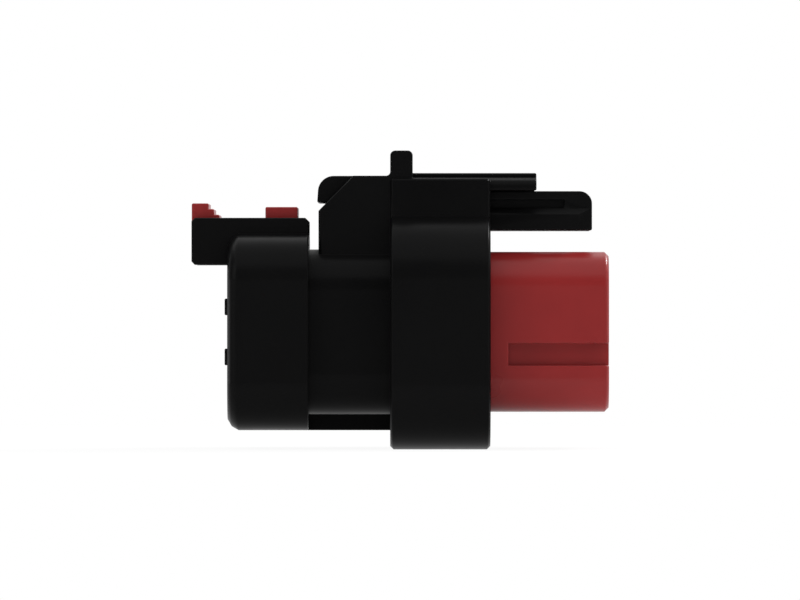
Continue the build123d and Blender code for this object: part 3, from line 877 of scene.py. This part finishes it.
def ribbed_ring(low, high, steps=72, back_steps=12):
    """Surface of the interface seal between two corners of its box.

    Points go round the core's section, and along the seal by half a cosine wave, closer together
    at the ends. Over the core, each point's height is the crest's, less the groove's depth times
    one minus the 0.7th power of a raised cosine with one wave for each crest. A shoulder brings
    it down to nothing at both ends: the cube root of one minus the ninth power of the distance
    from the middle. The last points come back along the core and close the section.
    """
    seals = settings().seals
    path, normal = rounded_rectangle(high.y - seals.crest, high.z - seals.crest, seals.corner)
    share = (1 - np.cos(np.linspace(0, math.pi, steps))) / 2
    lobe = 0.5 - 0.5 * np.cos(2 * math.pi * seals.lobes * share)
    shoulder = (1 - np.abs(2 * share - 1) ** 9) ** (1 / 3)
    height = shoulder * (seals.crest - seals.groove * (1 - lobe**0.7))
    back = np.linspace(1, 0, back_steps)[1:-1]
    x = low.x + (high.x - low.x) * np.concatenate([share, back])
    height = np.concatenate([height, np.zeros(len(back))])
    grid = np.empty((len(path), len(x), 3))
    grid[..., 0] = x
    grid[..., 1:] = path[:, None] + normal[:, None] * height[None, :, None]
    return grid


class PLUG_OT_interface_seal(bpy.types.Operator):
    """Makes the ribbed ring on the core."""

    bl_idname = "plug.interface_seal"
    bl_label = "Interface seal"

    def execute(self, context):
        ring = ribbed_ring(*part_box("interface_seal"))
        obj = linked_object(grid_surface("ribbed_interface_seal", ring[:, ::-1]))
        place_piece(obj, "plug", "seal_silicone")
        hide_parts("interface_seal")
        return {"FINISHED"}


class PLUG_OT_wire_seal(bpy.types.Operator):
    """Softens the wire seal, and makes the lip that grips each wire inside the cover's hole."""

    bl_idname = "plug.wire_seal"
    bl_label = "Wire seal"

    def execute(self, context):
        seals = settings().seals
        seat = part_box("wire_seal")[0].x
        soft_copy("wire_seal", "soft_wire_seal", seals.seal_edge, seals.seal_edge / 2)
        section = [(seat - seals.lip * share, radius) for share, radius in LIP_SECTION]
        profile = rounded_loop(section, LIP_ROUNDING)
        for number, centre in enumerate(contact_axes(), start=1):
            obj = linked_object(grid_surface(f"wire_seal_lip_{number}", turned(profile, centre)))
            place_piece(obj, "plug", "seal_silicone")
        return {"FINISHED"}


class PLUG_OT_contacts(bpy.types.Operator):
    """Softens the socket contacts and makes the hoods over their sprung ends."""

    bl_idname = "plug.contacts"
    bl_label = "Contacts"

    def execute(self, context):
        edge = settings().edges.metal
        for name in sorted(frame["nodes"]):
            if name.startswith("socket_contact"):
                soft_copy(name, "formed_" + name, edge, edge, segments=2)
            if name.startswith("contact_hood"):
                drawn_hood(name)
        return {"FINISHED"}


def drawn_hood(node):
    """Thin steel tube over a contact: a wall's section carried round the contact's axis.

    The front end is rolled in to a smooth mouth that leads the pin in, and a shallow bead round
    the tube locks it behind the contact's spring.
    """
    low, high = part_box(node)
    hood = settings().hood
    centre = ((low.y + high.y) / 2, (low.z + high.z) / 2)
    outside = (high.z - low.z) / 2
    inside = outside - hood.wall
    bead = low.x + (high.x - low.x) * hood.bead_place
    section = [
        (low.x, inside),
        (high.x - hood.wall, inside),
        (high.x, inside + hood.wall * 0.4),
        (high.x, outside - hood.wall * 0.3),
        (high.x - hood.wall * 0.7, outside),
        (bead + hood.bead_width, outside),
        (bead, outside - hood.bead_depth),
        (bead - hood.bead_width, outside),
        (low.x, outside),
    ]
    profile = rounded_loop(section, 0.3 * hood.wall)
    obj = linked_object(grid_surface("drawn_" + node, turned(profile, centre)))
    place_piece(obj, frame["nodes"][node]["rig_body"], node_slot(node))
    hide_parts(node)


class PLUG_OT_stage(bpy.types.Operator):
    """Sets a pale floor in a white room, the soft lamps and the side-on camera."""

    bl_idname = "plug.stage"
    bl_label = "Stage"

    def execute(self, context):
        stage = settings().stage
        low, high = CAD_BOX
        scene = context.scene
        floor_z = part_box("plug_housing")[0].z
        aim = ((low.x + high.x) / 2, 0.0, (low.z + high.z) / 2)
        pale_floor(aim[0], floor_z - FLOOR_GAP)
        soft_lamp("top_lamp", aim, TOP_PLACE, TOP_SIZE, stage.top_power)
        soft_lamp("left_lamp", aim, LEFT_PLACE, SIDE_SIZE, stage.side_power)
        soft_lamp("right_lamp", aim, RIGHT_PLACE, SIDE_SIZE, stage.side_power)
        soft_lamp("edge_lamp", aim, EDGE_PLACE, EDGE_SIZE, stage.edge_power)
        set_room(scene, stage.room)
        scene.camera = side_camera(aim)
        scene.view_settings.view_transform = "Standard"
        return {"FINISHED"}


def side_camera(aim):
    """A camera square to the plug's near side, as wide as the view at the near edges' depth."""
    stage = settings().stage
    camera = bpy.data.cameras.new("side_camera")
    camera.sensor_width = SENSOR_WIDTH
    camera.lens = SENSOR_WIDTH * stage.distance / stage.view_width
    camera.clip_start, camera.clip_end = CLIP_RANGE
    obj = linked_object(camera)
    obj.location = (aim[0], -NEAR_EDGES - stage.distance, aim[2])
    obj.rotation_euler = (math.pi / 2, 0, 0)
    return obj


def pale_floor(centre, floor_z):
    """A flat square sheet of pale paper under the plug, seen through from below."""
    reach = settings().stage.floor_reach
    side = np.linspace(-reach, reach, FLOOR_STEPS)
    grid = np.full((len(side), len(side), 3), floor_z)
    grid[..., 0] = centre + side[:, None]
    grid[..., 1] = side
    mesh = grid_surface("pale_floor", grid, closed_u=False, closed_v=False)
    mesh.materials.append(white_paper(centre))
    return linked_object(mesh)


def white_paper(centre):
    """Paper that looks white and takes a faint shadow near the plug, fading out with distance."""
    stage = settings().stage
    s = Shader("pale_paper")
    s.surface.inputs["Base Color"].default_value = PAPER_COLOUR
    s.surface.inputs["Roughness"].default_value = 0.9
    glow = s.add("ShaderNodeEmission")
    glow.inputs["Strength"].default_value = 1.0
    place = s.add("ShaderNodeTexCoord")
    away = s.add("ShaderNodeVectorMath", operation="DISTANCE")
    away.inputs[1].default_value = (centre, 0, 0)
    s.join(place, "Object", away, 0)
    near = (stage.shadow_reach / 5, stage.shadow_reach)
    fade = s.remap(away, "Value", near, (1 - stage.shadow, 1.0), interpolation_type="SMOOTHSTEP")
    rays = s.add("ShaderNodeLightPath")
    seen = s.greatest((rays, "Is Camera Ray"), (rays, "Is Glossy Ray"), (rays, "Is Transmission Ray"))
    part = s.product((seen, "Value"), (fade, "Result"))
    lit = s.add("ShaderNodeMixShader")
    s.join(part, "Value", lit, 0)
    s.join(s.surface, 0, lit, 1)
    s.join(glow, 0, lit, 2)
    below = s.add("ShaderNodeMixShader")
    s.join(s.add("ShaderNodeNewGeometry"), "Backfacing", below, 0)
    s.join(lit, 0, below, 1)
    s.join(s.add("ShaderNodeBsdfTransparent"), 0, below, 2)
    s.join(below, 0, s.nodes["Material Output"], "Surface")
    s.material.cycles.emission_sampling = "NONE"
    return s.material


def soft_lamp(name, aim, place, size, power):
    """A soft lamp this wide and high, at its place from the plug's middle and turned to face it."""
    light = bpy.data.lights.new(name, "AREA")
    light.shape = "RECTANGLE"
    light.size, light.size_y = size
    light.energy = power
    obj = linked_object(light)
    obj.location = np.add(aim, place)
    x, y, z = place
    obj.rotation_euler = (math.atan2(math.hypot(x, y), z), 0.0, math.atan2(y, x) + math.pi / 2)


def set_room(scene, strength):
    """An even dim room whose walls look white, and whose wall behind the plug also mirrors white."""
    world = scene.world or bpy.data.worlds.new("room")
    scene.world = world
    world.use_nodes = True
    g = Graph(world.node_tree)
    way = g.add("ShaderNodeTexCoord")
    axes = g.add("ShaderNodeSeparateXYZ")
    g.join(way, "Generated", axes, 0)
    behind = g.remap(axes, "Y", BEHIND_RANGE, (0.0, 1.0), interpolation_type="SMOOTHSTEP")
    rays = g.add("ShaderNodeLightPath")
    mirrored = g.product((rays, "Is Glossy Ray"), (behind, "Result"))
    white = g.greatest((rays, "Is Camera Ray"), (rays, "Is Transmission Ray"), (mirrored, "Value"))
    level = g.remap(white, "Value", (0.0, 1.0), (strength, 1.0))
    background = g.nodes["Background"]
    background.inputs["Color"].default_value = (1, 1, 1, 1)
    g.join(level, "Result", background, "Strength")


class PLUG_PT_dressing(bpy.types.Panel):
    """Lists the plug's pieces and their settings."""

    bl_idname = "PLUG_PT_dressing"
    bl_label = "Sealed plug"
    bl_space_type = "VIEW_3D"
    bl_region_type = "UI"
    bl_category = "Plug"

    def draw(self, context):
        layout = self.layout
        for operator in OPERATORS:
            layout.operator(operator.bl_idname)
        dressing = context.scene.plug_dressing
        for group in (dressing.edges, dressing.finish, dressing.seals, dressing.hood, dressing.stage):
            box = layout.box()
            for key in group.bl_rna.properties.keys():
                if key not in ("rna_type", "name"):
                    box.prop(group, key)


GROUPS = (
    PLUG_PG_edges,
    PLUG_PG_finish,
    PLUG_PG_seals,
    PLUG_PG_hood,
    PLUG_PG_stage,
    PLUG_PG_dressing,
)
OPERATORS = (
    PLUG_OT_mouldings,
    PLUG_OT_interface_seal,
    PLUG_OT_wire_seal,
    PLUG_OT_contacts,
    PLUG_OT_stage,
)
CLASSES = GROUPS + OPERATORS + (PLUG_PT_dressing,)


def register():
    for cls in CLASSES:
        bpy.utils.register_class(cls)
    bpy.types.Scene.plug_dressing = bpy.props.PointerProperty(type=PLUG_PG_dressing)


def unregister():
    del bpy.types.Scene.plug_dressing
    for cls in reversed(CLASSES):
        bpy.utils.unregister_class(cls)


def main():
    register()
    bpy.ops.plug.mouldings()
    bpy.ops.plug.interface_seal()
    bpy.ops.plug.wire_seal()
    bpy.ops.plug.contacts()
    bpy.ops.plug.stage()


if __name__ == "__main__":
    main()
